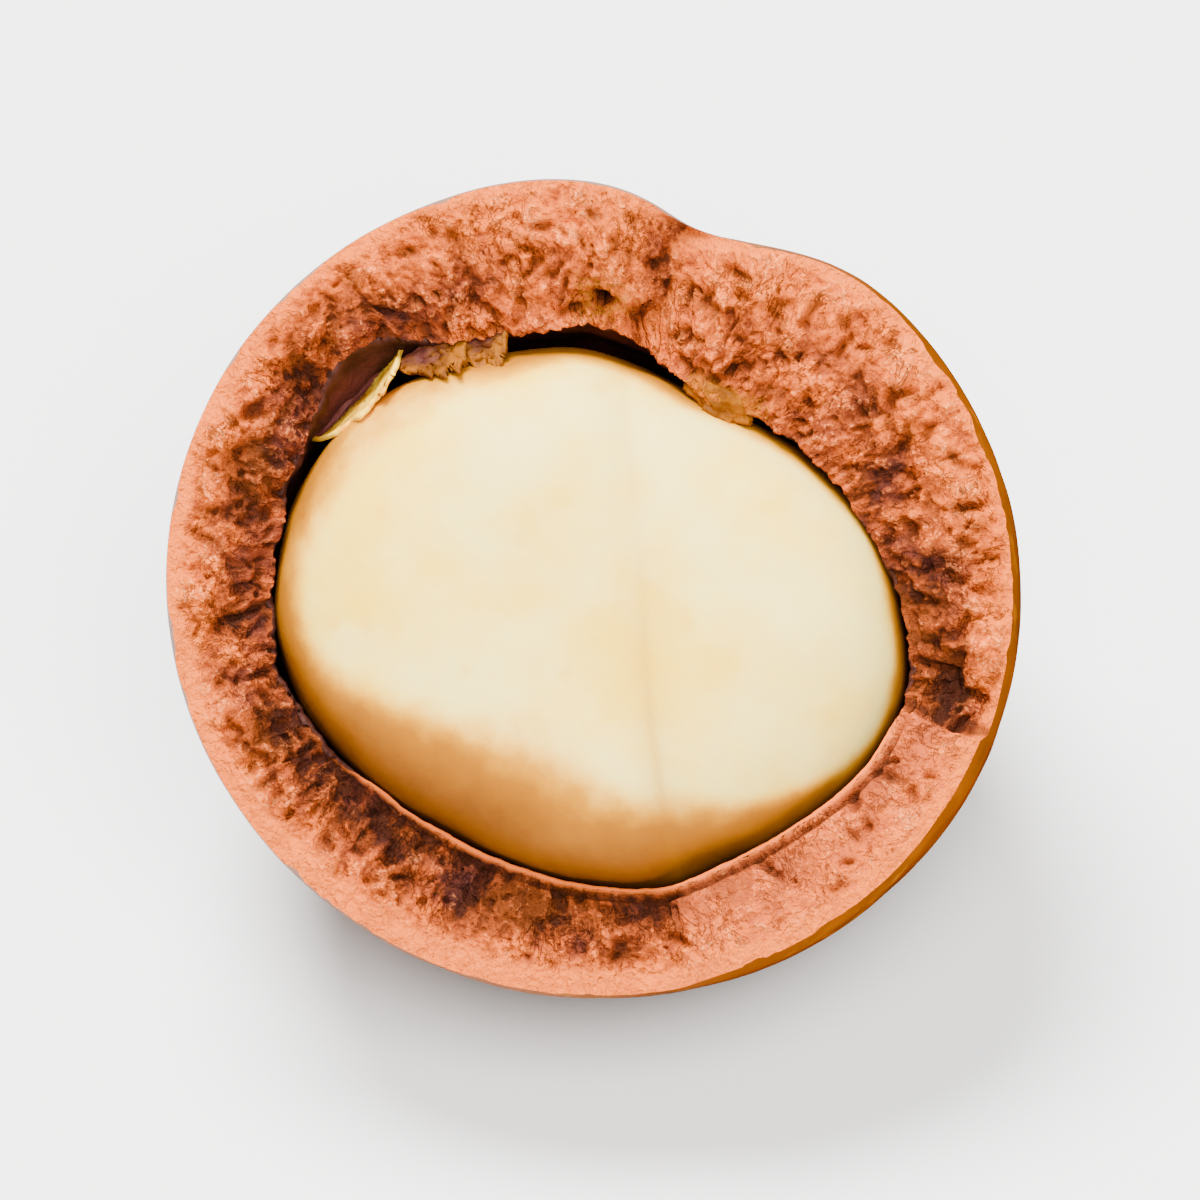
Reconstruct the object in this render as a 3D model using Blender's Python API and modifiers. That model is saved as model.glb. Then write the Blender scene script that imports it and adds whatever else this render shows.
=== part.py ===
"""Macadamia nut in shell, cracked open: a thick woody half shell with the whole kernel in it.

Metres, +Z up. The nut is first shaped in its own frame, where the origin is the middle of
the shell's outside, +X and +Y lie in the plane of the break and +Z points out of the break.
It is then leaned back by LEAN_BACK and set down on the flat spot under it.
"""
from math import pi, radians, sqrt

import bmesh
import bpy
import numpy as np
from mathutils import Matrix

MM = 0.001

# Driving dimensions of the shell
RIM_RADIUS = 13.07 * MM          # mean radius of the outline at the break
RIM_HEIGHT = 2.6 * MM            # break above the widest section
SHELL_DEPTH = 13.2 * MM          # widest section to the closed end
OVAL_AMOUNT = 0.30 * MM          # the outline is a little wider than high
OVAL_TURN = radians(17)
LOPSIDED_AMOUNT = 0.12 * MM      # and a little fuller at the right
LOPSIDED_TURN = radians(20)

# Dimple in the outside where the stalk joined, and the crease that the break makes there
DIMPLE_ANGLE = radians(69)
DIMPLE_WIDTH = radians(15)
DIMPLE_DEPTH = 1.05 * MM
DIMPLE_STARTS = radians(35)
CREASE_ANGLE = radians(74)
CREASE_WIDTH = radians(6)
CREASE_NOTCH = 0.22 * MM         # how far the crease cuts into the outline
CREASE_DEPTH = 0.55 * MM         # how far it cuts into the break

# Break: its inner edge lies lower, and one facet stands above the rest of it
BREAK_FALL = 0.7 * MM
BREAK_CROWN = 0.25 * MM
FACET_START = radians(286)
FACET_END = radians(339)
FACET_EASE = radians(5)
FACET_RISE = 0.45 * MM

# Inner edge of the break: radius every 15 degrees, from the right and counter-clockwise
INNER_EDGE_MM = (9.9, 8.9, 8.2, 7.5, 7.0, 7.8, 8.1, 8.1, 8.9, 10.5, 10.2, 10.0,
                 10.1, 10.2, 9.9, 9.4, 9.3, 9.4, 9.7, 10.1, 10.2, 10.7, 11.2, 11.1)

# Driving dimensions of the kernel
KERNEL_CENTRE = (-0.31 * MM, -1.07 * MM, -1.7 * MM)
KERNEL_RADIUS = 9.1 * MM         # mean radius of its widest section
KERNEL_OVAL = 1.1 * MM
KERNEL_OVAL_TURN = radians(161)
KERNEL_CORNERS = 0.16 * MM       # the outline has four soft corners
KERNEL_CORNER_TURN = radians(80)
KERNEL_POINT = 0.22 * MM         # and a blunt point at the lower end of its seam
KERNEL_POINT_ANGLE = radians(279)
KERNEL_POINT_WIDTH = radians(14)
KERNEL_HEIGHT = 6.4 * MM         # widest section to the top that shows
KERNEL_DEPTH = 8.3 * MM          # widest section to its bottom in the shell
KERNEL_FULLNESS = 2.35           # 2 is an oval section; more is fuller
SEAM_OFFSET = 2.3 * MM           # seam between the seed halves, right of the kernel's middle
SEAM_WIDTH = 0.9 * MM
SEAM_DEPTH = 0.22 * MM
SIDE_GAP = 0.45 * MM
BOTTOM_GAP = 0.36 * MM

# How the nut lies
LEAN_BACK = radians(38)
FLAT_SPOT_RADIUS = 3.5 * MM

# Mesh fineness
SHELL_SEGMENTS = 72
OUTSIDE_ROWS = 18
BREAK_ROWS = 7
CAVITY_ROWS = 14
WALL_SHARE = 0.4                 # part of the cavity's rows above its widest section
WALL_HOLLOW = 0.7                # part of that wall over which it hollows out
KERNEL_SEGMENTS = 52
KERNEL_RINGS = 30

SHELL_COLOUR = (0.36, 0.12, 0.03, 1.0)
KERNEL_COLOUR = (0.94, 0.80, 0.54, 1.0)


def clear_scene():
    for obj in list(bpy.data.objects):
        bpy.data.objects.remove(obj, do_unlink=True)


def make_collection(name):
    collection = bpy.data.collections.new(name)
    bpy.context.scene.collection.children.link(collection)
    return collection


def make_material(name, colour, roughness):
    material = bpy.data.materials.new(name)
    material.use_nodes = True
    shader = material.node_tree.nodes["Principled BSDF"]
    shader.inputs["Base Color"].default_value = colour
    shader.inputs["Roughness"].default_value = roughness
    shader.inputs["Metallic"].default_value = 0.0
    return material


def turned_by(angle, middle):
    """Angle from the middle, between minus and plus half a turn."""
    return (angle - middle + pi) % (2 * pi) - pi


def hump(angle, middle, width):
    return np.exp(-(turned_by(angle, middle) / width) ** 2)


def ease(low, high, value):
    share = np.clip((value - low) / (high - low), 0.0, 1.0)
    return share * share * (3.0 - 2.0 * share)


def blend(first, second, share):
    return first + (second - first) * share


def widest_radius(angle):
    outline = (RIM_RADIUS + OVAL_AMOUNT * np.cos(2 * (angle + OVAL_TURN))
               + LOPSIDED_AMOUNT * np.cos(angle + LOPSIDED_TURN))
    return outline / sqrt(1 - (RIM_HEIGHT / SHELL_DEPTH) ** 2)


def facet_share(angle):
    """One on the raised facet of the break, which ends in a sharp step."""
    start = ease(-FACET_EASE, FACET_EASE, turned_by(angle, FACET_START))
    end = ease(-FACET_EASE, FACET_EASE, turned_by(angle, FACET_END))
    return start * (1.0 - end) * (angle > pi)


def rim_height(angle):
    return (RIM_HEIGHT + FACET_RISE * facet_share(angle)
            - CREASE_DEPTH * hump(angle, CREASE_ANGLE, CREASE_WIDTH))


def outside_point(angle, share):
    """Radius and height on the outside, from the closed end (0) to the break (1)."""
    last = np.arccos(-rim_height(angle) / SHELL_DEPTH)
    polar = share * last
    dimple = (DIMPLE_DEPTH * hump(angle, DIMPLE_ANGLE, DIMPLE_WIDTH)
              + CREASE_NOTCH * hump(angle, CREASE_ANGLE, CREASE_WIDTH))
    radius = widest_radius(angle) * np.sin(polar) - dimple * ease(DIMPLE_STARTS, pi / 2, polar)
    return radius, -SHELL_DEPTH * np.cos(polar)


def inner_edge(angle):
    degrees = np.degrees(angle) % 360
    listed = np.array(INNER_EDGE_MM + INNER_EDGE_MM[:1]) * MM
    return np.interp(degrees, np.linspace(0, 360, len(listed)), listed)


def break_point(angle, share):
    """Radius and height on the break, from its outer edge (0) to its inner edge (1)."""
    outer_radius, outer_height = outside_point(angle, 1.0)
    radius = blend(outer_radius, inner_edge(angle), share)
    height = outer_height - BREAK_FALL * share ** 1.5 + BREAK_CROWN * np.sin(pi * share)
    return radius, height


def kernel_outline(angle):
    """Radius of the kernel's widest section around its own middle."""
    return (KERNEL_RADIUS + KERNEL_OVAL * np.cos(2 * (angle - KERNEL_OVAL_TURN))
            + KERNEL_CORNERS * np.cos(4 * (angle - KERNEL_CORNER_TURN))
            + KERNEL_POINT * hump(angle, KERNEL_POINT_ANGLE, KERNEL_POINT_WIDTH))


def fullness(level):
    """How far a rounded section stands out beyond an oval one, for points at this slope."""
    across, up = np.cos(level), np.abs(np.sin(level))
    return (across ** KERNEL_FULLNESS + up ** KERNEL_FULLNESS) ** (-1 / KERNEL_FULLNESS)


def cavity_place(angle, share):
    """Place on the cavity's wall, from the break's inner edge (0) to its bottom (1)."""
    edge_radius, edge_height = break_point(angle, 1.0)
    middle_x, middle_y, middle_z = KERNEL_CENTRE
    across = edge_radius * np.cos(angle) - middle_x
    along = edge_radius * np.sin(angle) - middle_y
    own_angle = np.arctan2(along, across)
    edge_distance = np.hypot(across, along)
    widest = kernel_outline(own_angle) + SIDE_GAP
    down_wall = np.clip(share / WALL_SHARE, 0.0, 1.0)
    dip = np.clip((share - WALL_SHARE) / (1 - WALL_SHARE), 0.0, 1.0) * pi / 2
    distance = blend(edge_distance, widest, ease(0.0, WALL_HOLLOW, down_wall))
    distance *= np.cos(dip) * fullness(dip)
    height = (blend(edge_height, middle_z, down_wall)
              - (KERNEL_DEPTH + BOTTOM_GAP) * np.sin(dip) * fullness(dip))
    return middle_x + distance * np.cos(own_angle), middle_y + distance * np.sin(own_angle), height


def shell_places(angle, stage):
    """Places of the shell's points: stage 0 to 1 outside, 1 to 2 break, 2 to 3 cavity."""
    outside_radius, outside_height = outside_point(angle, np.clip(stage, 0, 1))
    break_radius, break_height = break_point(angle, np.clip(stage - 1, 0, 1))
    cavity_x, cavity_y, cavity_z = cavity_place(angle, np.clip(stage - 2, 0, 1))
    radius = np.where(stage <= 1, outside_radius, break_radius)
    height = np.where(stage <= 1, outside_height, break_height)
    inside = stage > 2
    return np.stack((np.where(inside, cavity_x, radius * np.cos(angle)),
                     np.where(inside, cavity_y, radius * np.sin(angle)),
                     np.where(inside, cavity_z, height)), axis=1)


def nut_placement():
    middle_height = sqrt(SHELL_DEPTH ** 2 - FLAT_SPOT_RADIUS ** 2)
    return Matrix.Translation((0, 0, middle_height)) @ Matrix.Rotation(LEAN_BACK, 4, "X")


def turned_mesh(name):
    """Turn a profile round the axis; each point keeps its stage along the profile."""
    bm = bmesh.new()
    stage_layer = bm.verts.layers.float.new("stage")
    stages = np.concatenate((np.linspace(0, 1, OUTSIDE_ROWS + 1),
                             np.linspace(1, 2, BREAK_ROWS + 1)[1:],
                             np.linspace(2, 3, CAVITY_ROWS + 1)[1:]))
    profile = []
    for stage, place in zip(stages, shell_places(np.zeros_like(stages), stages)):
        on_axis = stage in (0, 3)
        vert = bm.verts.new((0.0 if on_axis else place[0], 0.0, place[2]))
        vert[stage_layer] = stage
        profile.append(vert)
    for pair in zip(profile, profile[1:]):
        bm.edges.new(pair)
    line = bpy.data.meshes.new("profile")
    bm.to_mesh(line)
    bm.free()
    turned = bpy.data.objects.new("profile", line)
    bpy.context.scene.collection.objects.link(turned)
    screw = turned.modifiers.new("turn", "SCREW")
    screw.steps = SHELL_SEGMENTS
    screw.render_steps = SHELL_SEGMENTS
    screw.use_merge_vertices = True
    screw.merge_threshold = 1e-6
    screw.use_normal_calculate = True
    evaluated = turned.evaluated_get(bpy.context.evaluated_depsgraph_get())
    mesh = bpy.data.meshes.new_from_object(evaluated)
    mesh.name = name
    bpy.data.objects.remove(turned, do_unlink=True)
    return mesh


def mesh_points(mesh):
    points = np.empty(len(mesh.vertices) * 3)
    mesh.vertices.foreach_get("co", points)
    return points.reshape(-1, 3)


def set_down(points):
    """Lean the points back, set them on the ground and flatten what would be below it."""
    placement = np.array(nut_placement())
    placed = points @ placement[:3, :3].T + placement[:3, 3]
    placed[:, 2] = np.maximum(placed[:, 2], 0.0)
    return placed


def finish_object(mesh, points, material, collection):
    mesh.vertices.foreach_set("co", set_down(points).ravel())
    mesh.materials.append(material)
    mesh.shade_smooth()
    mesh.update()
    obj = bpy.data.objects.new(mesh.name, mesh)
    collection.objects.link(obj)
    return obj


def make_shell(collection):
    mesh = turned_mesh("shell")
    points = mesh_points(mesh)
    angle = np.arctan2(points[:, 1], points[:, 0]) % (2 * pi)
    stage = np.empty(len(points))
    mesh.attributes["stage"].data.foreach_get("value", stage)
    material = make_material("shell_wood", SHELL_COLOUR, 0.4)
    return finish_object(mesh, shell_places(angle, stage), material, collection)


def make_kernel(collection):
    bm = bmesh.new()
    bmesh.ops.create_uvsphere(bm, u_segments=KERNEL_SEGMENTS, v_segments=KERNEL_RINGS, radius=1.0)
    mesh = bpy.data.meshes.new("kernel")
    bm.to_mesh(mesh)
    bm.free()
    unit = mesh_points(mesh)
    unit *= fullness(np.arcsin(np.clip(unit[:, 2], -1, 1)))[:, None]
    outline = kernel_outline(np.arctan2(unit[:, 1], unit[:, 0]))
    across = unit[:, 0] * outline
    seam = np.exp(-((across - SEAM_OFFSET) / SEAM_WIDTH) ** 2) * ease(0.0, 0.5, unit[:, 2])
    height = unit[:, 2] * np.where(unit[:, 2] > 0, KERNEL_HEIGHT, KERNEL_DEPTH)
    points = np.stack((across, unit[:, 1] * outline, height - SEAM_DEPTH * seam), axis=1)
    material = make_material("kernel_flesh", KERNEL_COLOUR, 0.5)
    return finish_object(mesh, points + np.array(KERNEL_CENTRE), material, collection)


def main():
    clear_scene()
    collection = make_collection("macadamia_nut_in_shell")
    make_shell(collection)
    make_kernel(collection)


main()
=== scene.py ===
from math import cos, pi, radians, sin, sqrt
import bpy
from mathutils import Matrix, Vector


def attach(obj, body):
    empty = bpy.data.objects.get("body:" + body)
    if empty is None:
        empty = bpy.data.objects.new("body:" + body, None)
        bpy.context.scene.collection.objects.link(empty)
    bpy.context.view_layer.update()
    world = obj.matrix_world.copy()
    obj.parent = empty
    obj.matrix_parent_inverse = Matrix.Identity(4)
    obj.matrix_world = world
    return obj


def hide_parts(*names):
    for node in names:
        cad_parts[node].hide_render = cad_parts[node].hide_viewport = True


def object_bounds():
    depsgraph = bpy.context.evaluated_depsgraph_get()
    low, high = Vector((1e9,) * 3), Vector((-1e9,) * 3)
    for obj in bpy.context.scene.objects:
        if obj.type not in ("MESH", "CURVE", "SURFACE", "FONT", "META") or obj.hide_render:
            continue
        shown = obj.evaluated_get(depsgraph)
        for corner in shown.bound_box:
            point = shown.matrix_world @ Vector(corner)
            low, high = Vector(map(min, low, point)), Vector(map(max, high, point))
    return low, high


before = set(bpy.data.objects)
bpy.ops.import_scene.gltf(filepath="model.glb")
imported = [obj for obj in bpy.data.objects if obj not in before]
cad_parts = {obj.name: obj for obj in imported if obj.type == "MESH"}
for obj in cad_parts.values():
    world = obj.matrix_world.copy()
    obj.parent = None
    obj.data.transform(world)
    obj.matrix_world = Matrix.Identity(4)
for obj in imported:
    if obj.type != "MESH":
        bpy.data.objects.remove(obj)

from types import SimpleNamespace

import bmesh
import bpy
import numpy as np
from mathutils import Matrix, Vector, noise

bl_info = {
    "name": "Cracked Macadamia",
    "version": (1, 0, 0),
    "blender": (4, 5, 0),
    "location": "3D View > Sidebar > Macadamia",
    "description": "Builds an opened macadamia nut: a woody half shell with the kernel in it",
    "category": "Add Mesh",
}

MM = 0.001
FULL_TURN = 2 * pi
CAD_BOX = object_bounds()

# The nut's own frame: its origin is the middle of the shell's outside, X and Y lie in the
# plane of the break and Z points out of the break.

# Shell: the part's own sizes, apart from a step that is a little higher and sharper
RIM_RADIUS = 13.07 * MM
RIM_HEIGHT = 2.6 * MM
SHELL_DEPTH = 13.2 * MM
OVAL_AMOUNT = 0.30 * MM
OVAL_TURN = radians(17)
LOPSIDED_AMOUNT = 0.12 * MM
LOPSIDED_TURN = radians(20)
DIMPLE_ANGLE = radians(69)
DIMPLE_WIDTH = radians(15)
DIMPLE_DEPTH = 1.05 * MM
DIMPLE_STARTS = radians(35)
CREASE_ANGLE = radians(74)
CREASE_WIDTH = radians(6)
CREASE_NOTCH = 0.22 * MM
CREASE_DEPTH = 0.55 * MM
BREAK_FALL = 0.7 * MM
BREAK_CROWN = 0.25 * MM
FACET_START = radians(286)
FACET_END = radians(339)
FACET_EASE = radians(5)
FACET_RISE = 0.55 * MM
STEP_EASE = radians(0.7)
LEAN_BACK = radians(38)
FLAT_SPOT_RADIUS = 3.5 * MM

# Inner edge of the break: radius every 15 degrees, from the right and counter-clockwise. It is
# up to half a millimetre tighter than the part's at the lower right.
INNER_EDGE_MM = (9.75, 8.85, 8.2, 7.5, 7.0, 7.8, 8.3, 8.3, 9.0, 10.5, 10.2, 10.0,
                 10.05, 10.15, 9.75, 9.25, 9.12, 9.25, 9.6, 10.0, 10.0, 10.35, 10.75, 10.65)

# Unevenness of the break's two edges, and how much of it the facet and the lip take away
RIM_UNEVEN = 0.16 * MM
FACET_CALM = 0.6
INNER_UNEVEN = 0.16 * MM
LIP_CALM = 0.75

# Flare and chips of the break's outer edge: how high the wander has to be for a chip, and how
# far down the outside it reaches, as an angle
RIM_FLARE = 0.20 * MM
CHIP_DEPTH = 0.16 * MM
CHIP_LEVEL = 0.15
CHIP_REACH = 0.05

# Thin lip that the smooth lining makes along the inner edge: the angles between which it
# begins and ends, its width and height, and the groove behind it
LIP_BEGINS = (radians(207), radians(223))
LIP_ENDS = (radians(332), radians(340))
LIP_EDGE = (0.05 * MM, 0.13 * MM)
LIP_HEIGHT = 0.10 * MM
GROOVE_PLACE = 0.24 * MM
GROOVE_WIDTH = 0.09 * MM
GROOVE_DEPTH = 0.20 * MM

# Kernel: the part's own sizes, apart from a fuller top and a slight swell
KERNEL_CENTRE = (-0.31 * MM, -1.07 * MM, -1.7 * MM)
KERNEL_HEIGHT = 6.4 * MM
KERNEL_DEPTH = 8.3 * MM
KERNEL_FULLNESS = 2.35
KERNEL_TOP_FULLNESS = 3.4
KERNEL_SWELL = 0.014
KERNEL_SWELL_SIZE = 4.5 * MM
SIDE_GAP = 0.45 * MM
BOTTOM_GAP = 0.36 * MM
WALL_SHARE = 0.4
WALL_HOLLOW = 0.7

# Seam between the seed halves: a broad shallow valley with a fine wavering line in it
SEAM_OFFSET = 2.3 * MM
SEAM_SLANT = 0.1
SEAM_WAVER = 0.12 * MM
SEAM_WAVER_LENGTH = 2.1 * MM
SEAM_WIDTH = 0.9 * MM
SEAM_DEPTH = 0.26 * MM
SEAM_LINE_WIDTH = 0.24 * MM
SEAM_LINE_DEPTH = 0.07 * MM
SEAM_SHADE_WIDTH = 0.6 * MM
SEAM_FADES = (-4 * MM, 3 * MM)

# Kernel's widest section: radius from its own middle every 15 degrees
KERNEL_EDGE_MM = (10.4, 9.9, 9.2, 8.55, 8.15, 8.3, 8.75, 8.95, 9.4, 9.8, 10.0, 10.0,
                  9.95, 9.5, 8.85, 8.4, 8.15, 8.2, 8.6, 9.05, 9.05, 9.6, 10.3, 10.65)

# Every 30 degrees round the kernel: how far its amber edge reaches inwards in millimetres and how
# strong it is, and how strong it is at least below the widest section
TOAST_REACH_MM = (0.6, 0.6, 0.8, 0.8, 2.0, 2.2, 1.6, 4.2, 5.6, 5.4, 3.2, 0.9)
TOAST_STRENGTH = (0.85, 0.8, 0.8, 0.7, 0.62, 0.65, 0.75, 0.95, 1.0, 1.0, 0.95, 0.85)
TOAST_BELOW = 0.6

# Fineness of the meshes
SHELL_SEGMENTS = 720
OUTSIDE_ROWS = 40
BREAK_ROWS = 60
CAVITY_ROWS = 26
KERNEL_FINENESS = 7
BEAD_FINENESS = 5
FLAKE_FINENESS = dict(x_segments=40, y_segments=22)

# Grain of the broken wood: it runs outwards, so it is longer that way, and wavers
GRAIN_STRETCH = 1.3
GRAIN_WAVER = 0.5 * MM
GRAIN_WAVER_SIZE = 2.4 * MM

# Every 30 degrees round the break: width of its smooth outer band in millimetres, and how
# light its outer and its inner part are. This lightness is partly the wood's own tone and partly
# painted light and shade.
BAND_WIDTH_MM = (0.30, 0.35, 0.40, 0.28, 0.42, 0.55, 0.52, 0.72, 1.05, 1.00, 0.70, 0.50)
OUTER_LIGHT = (0.90, 1.00, 0.95, 1.00, 0.95, 0.95, 1.00, 0.92, 0.90, 0.92, 1.00, 1.08)
INNER_LIGHT = (-0.12, 0.30, 0.60, 0.55, 0.35, -0.20, 0.05, -0.18, -0.35, -0.45, -0.12, -0.30)
BAND_UNEVEN = 0.28 * MM
BAND_EDGE = (0.4, 1.5)
LIGHT_CHANGES = (0.1, 0.75)
# Painted light: from this angle to its step the facet is painted lighter, where it faces the light
FACET_BRIGHTENS_FROM = radians(300)

# Distances from the outer edge over which all relief, crumbs, pits and hollows set in, distances
# from the inner edge over which the lining calms the crumbs, and the crumb height that stays level
RELIEF_SETS_IN = (0.0, 0.12 * MM)
CRUMBS_SET_IN = (0.0, 0.20 * MM)
PITS_SET_IN = (0.2 * MM, 1.0 * MM)
HOLLOWS_SET_IN = (0.0, 0.8 * MM)
CALM_FROM = 0.2 * MM
CALM_TO = 0.3 * MM
CRUMB_LEVEL = 0.55

# Larger hollows in the break: angle in degrees, radius, width and depth in millimetres. They are
# also painted darker, as painted shade.
BREAK_HOLLOWS = (
    (58, 8.8, 1.0, 0.35), (48, 10.0, 0.8, 0.25), (35, 10.7, 0.8, 0.25), (21, 10.4, 0.9, 0.25),
    (2, 11.6, 0.6, 0.20), (125, 10.7, 1.0, 0.25), (112, 10.4, 0.8, 0.20), (143, 11.2, 0.9, 0.30),
    (160, 10.9, 0.8, 0.20), (185, 11.0, 0.9, 0.20), (205, 10.7, 1.1, 0.30), (218, 10.2, 1.1, 0.30),
    (232, 10.0, 1.0, 0.30), (248, 10.2, 0.8, 0.25), (262, 10.4, 0.7, 0.15), (346, 11.8, 0.9, 0.60),
)

# Small pits scattered over the break: where across it, how wide and how stretched
PIT_COUNT = 480
PIT_SEED = 5
PIT_PLACES = (0.14, 0.97)
PIT_WIDTHS = (0.07 * MM, 0.22 * MM)
PIT_STRETCHES = (1.0, 3.6)
PIT_DEPTH = 0.26 * MM

# Pore near the stalk end
PORE_ANGLE = radians(87)
PORE_RADIUS = 9.1 * MM
PORE_WIDTH = 0.36 * MM
PORE_DEPTH = 0.7 * MM
PORE_HALO = 1.2 * MM
PORE_FLATNESS = 1.35

# Sharp valley of the crease and the shaded side beside it
CREASE_VALLEY = 0.5 * MM
CREASE_SLANT = radians(2.5)
CREASE_WAVER = radians(1.2)
VALLEY_WIDTH = radians(2.6)
SHADE_WIDTH = radians(4.5)

# Torn pocket above the step where the raised facet ends, and the painted shadow line along the step
# itself
POCKET_ANGLE = radians(343)
POCKET_WIDTH = radians(4)
POCKET_DEPTH = 0.5 * MM
STEP_SHADOW_WIDTH = radians(0.8)

# Fine radial cracks in the outer part of the break, at the right
CRACK_COUNT = 13
CRACK_FROM = radians(-22)
CRACK_TO = radians(28)
CRACK_WIDTH = radians(0.42)
CRACK_DEPTH = 0.12 * MM
CRACK_SHIFT = radians(1.4)
CRACK_BEND = radians(2.0)

# Outside: its swells and dents, its seam from the dimple over the back, and one hairline crack
SWELL_SIZE = 5.5 * MM
DENT_SIZE = 1.6 * MM
SEAM_PLANE = (-sin(DIMPLE_ANGLE), cos(DIMPLE_ANGLE), 0.0)
OUTER_SEAM_WIDTH = 0.35 * MM
OUTER_SEAM_DEPTH = 0.05 * MM
CRACK_PLANE = (0.62, 0.45, 0.64)
CRACK_OFFSET = -3.0 * MM
DULL_TURN = radians(12)

# Lining of the cavity
LINING_SIZE = 1.1 * MM
LINING_DEPTH = 0.10 * MM

# Scraps of dried seed skin between the kernel and the shell. Angles in degrees, lengths in
# millimetres: where the scrap starts and ends round the nut, radius and height of its
# outer and inner edge, how far it sags between them, how ragged it is
SKIN_FLAKES = {
    "seed_skin_flap": dict(start=152, end=127, outer=(10.2, 0.1), inner=(9.0, 2.25), sag=0.55,
                           ragged=0.20, pale=True),
    "seed_skin_shred": dict(start=131, end=115, outer=(9.4, 1.2), inner=(8.15, 2.3), sag=-0.10,
                            ragged=0.55, pale=False),
    "seed_skin_wisp": dict(start=122, end=107, outer=(8.9, 1.3), inner=(7.75, 1.9), sag=-0.25,
                           ragged=0.60, pale=False),
}
FLAKE_THICKNESS = 0.16 * MM
FLAKE_CRUMPLE_MM = 0.16
FLAKE_CRUMPLE_SIZE = 0.3
FLAKE_RAG_SIZE = 0.16
FLAKE_BLUNTNESS = 0.55

# Bead of dried gum on the inner edge, right of the pore, and the stain round it
BEAD_ANGLE = radians(54)
BEAD_RADIUS = 7.2 * MM
BEAD_HEIGHT = 1.6 * MM
BEAD_SIZES = (1.15 * MM, 0.62 * MM, 0.5 * MM)
BEAD_LUMPS = 0.35
BEAD_LUMP_SIZE = 0.7
STAIN_WIDTH = radians(11)
STAIN_REACH = (0.25 * MM, 1.1 * MM)

# Floor, lamps and camera
FLOOR_SIZE = 1.5
FLOOR_GAP = 0.02 * MM
ROOM_COLOUR = (1.0, 0.99, 0.97)
KEY_LAMP = dict(azimuth=radians(210), elevation=radians(68), distance=0.42, size=0.22)
FILL_LAMP = dict(azimuth=radians(20), elevation=radians(58), distance=0.50, size=0.30)
SENSOR_WIDTH = 36.0


def screen_colour(red, green, blue):
    """Linear colour for a colour as a screen shows it, 0 to 255."""
    shares = (red / 255, green / 255, blue / 255)
    return tuple(c / 12.92 if c <= 0.04045 else ((c + 0.055) / 1.055) ** 2.4 for c in shares)


# Shape helpers

def turned_by(angle, middle):
    """Angle from the middle, between minus and plus half a turn."""
    return (angle - middle + pi) % FULL_TURN - pi


def bell(distance, width):
    return np.exp(-(distance / width) ** 2)


def hump(angle, middle, width):
    return bell(turned_by(angle, middle), width)


def ease(low, high, value):
    share = np.clip((value - low) / (high - low), 0.0, 1.0)
    return share * share * (3.0 - 2.0 * share)


def blend(first, second, share):
    return first + (second - first) * share


def wander_table(size, seed):
    """A smooth random value, about -1 to 1, for each column of points round the shell."""
    values = []
    for column in range(SHELL_SEGMENTS):
        angle = FULL_TURN * column / SHELL_SEGMENTS
        place = Vector((cos(angle), sin(angle), seed)) * (RIM_RADIUS / size)
        values.append(noise.fractal(place, 0.7, 2.0, 4))
    return np.array(values)


RIM_WANDER = wander_table(2.6 * MM, 3.1)
INNER_WANDER = wander_table(1.3 * MM, 7.7)
OUTER_WANDER = wander_table(1.6 * MM, 12.3)


def wander(table, angle):
    column = np.rint(angle / FULL_TURN * SHELL_SEGMENTS).astype(int) % SHELL_SEGMENTS
    return table[column]


def spread(values):
    """Stretch values so that nearly all of them fill the range from 0 to 1."""
    low, high = np.percentile(values, (3, 97))
    return np.clip((values - low) / (high - low), 0.0, 1.0)


def ring_value(values, angle):
    """Smooth value between evenly spaced ones that are listed once round."""
    listed = np.array(values)
    place = angle % FULL_TURN / FULL_TURN * len(listed)
    spot = np.floor(place).astype(int)
    share = place - spot
    before, start, end, after = (listed[(spot + step) % len(listed)] for step in (-1, 0, 1, 2))
    bend = 2 * before - 5 * start + 4 * end - after
    twist = 3 * (start - end) + after - before
    return start + share / 2 * (end - before + share * (bend + share * twist))


def noise_field(points, size, octaves, seed, hard=False):
    """Fractal noise at each point; hard noise is 0 in sharp valleys and up to about 1 on crumbs."""
    shift = Vector((3.7 * seed, 1.9 * seed, 5.3 * seed))
    places = (Vector(point) / size + shift for point in points)
    if hard:
        return np.array([noise.turbulence(place, octaves, True) for place in places])
    return np.array([noise.fractal(place, 0.8, 2.0, octaves) for place in places])


def chip_field(places, size, seed):
    """Broken facets: each chip has a height and a slope of its own, about -1 to 1."""
    noise.seed_set(seed)     # without it the vector noise differs from run to run
    shift = Vector((2.3 * seed, 4.1 * seed, 0.7 * seed))
    heights = []
    for place in places:
        spot = Vector(place) / size + shift
        middle = noise.voronoi(spot)[1][0]
        own = noise.noise_vector(7.7 * middle)
        slope = noise.noise_vector(5.3 * middle)
        heights.append(own.x + 2.2 * slope.dot(spot - middle))
    return np.array(heights)


# Shell form

def widest_radius(angle):
    outline = (RIM_RADIUS + OVAL_AMOUNT * np.cos(2 * (angle + OVAL_TURN))
               + LOPSIDED_AMOUNT * np.cos(angle + LOPSIDED_TURN))
    return outline / sqrt(1 - (RIM_HEIGHT / SHELL_DEPTH) ** 2)


def facet_share(angle):
    """One on the raised facet of the break, which ends in a sharp step."""
    start = ease(-FACET_EASE, FACET_EASE, turned_by(angle, FACET_START))
    end = ease(-STEP_EASE, STEP_EASE, turned_by(angle, FACET_END))
    return start * (1.0 - end) * (angle > pi)


def rim_height(angle):
    return (RIM_HEIGHT + FACET_RISE * facet_share(angle)
            - CREASE_DEPTH * hump(angle, CREASE_ANGLE, CREASE_WIDTH)
            + RIM_UNEVEN * wander(RIM_WANDER, angle) * (1 - FACET_CALM * facet_share(angle)))


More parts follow.
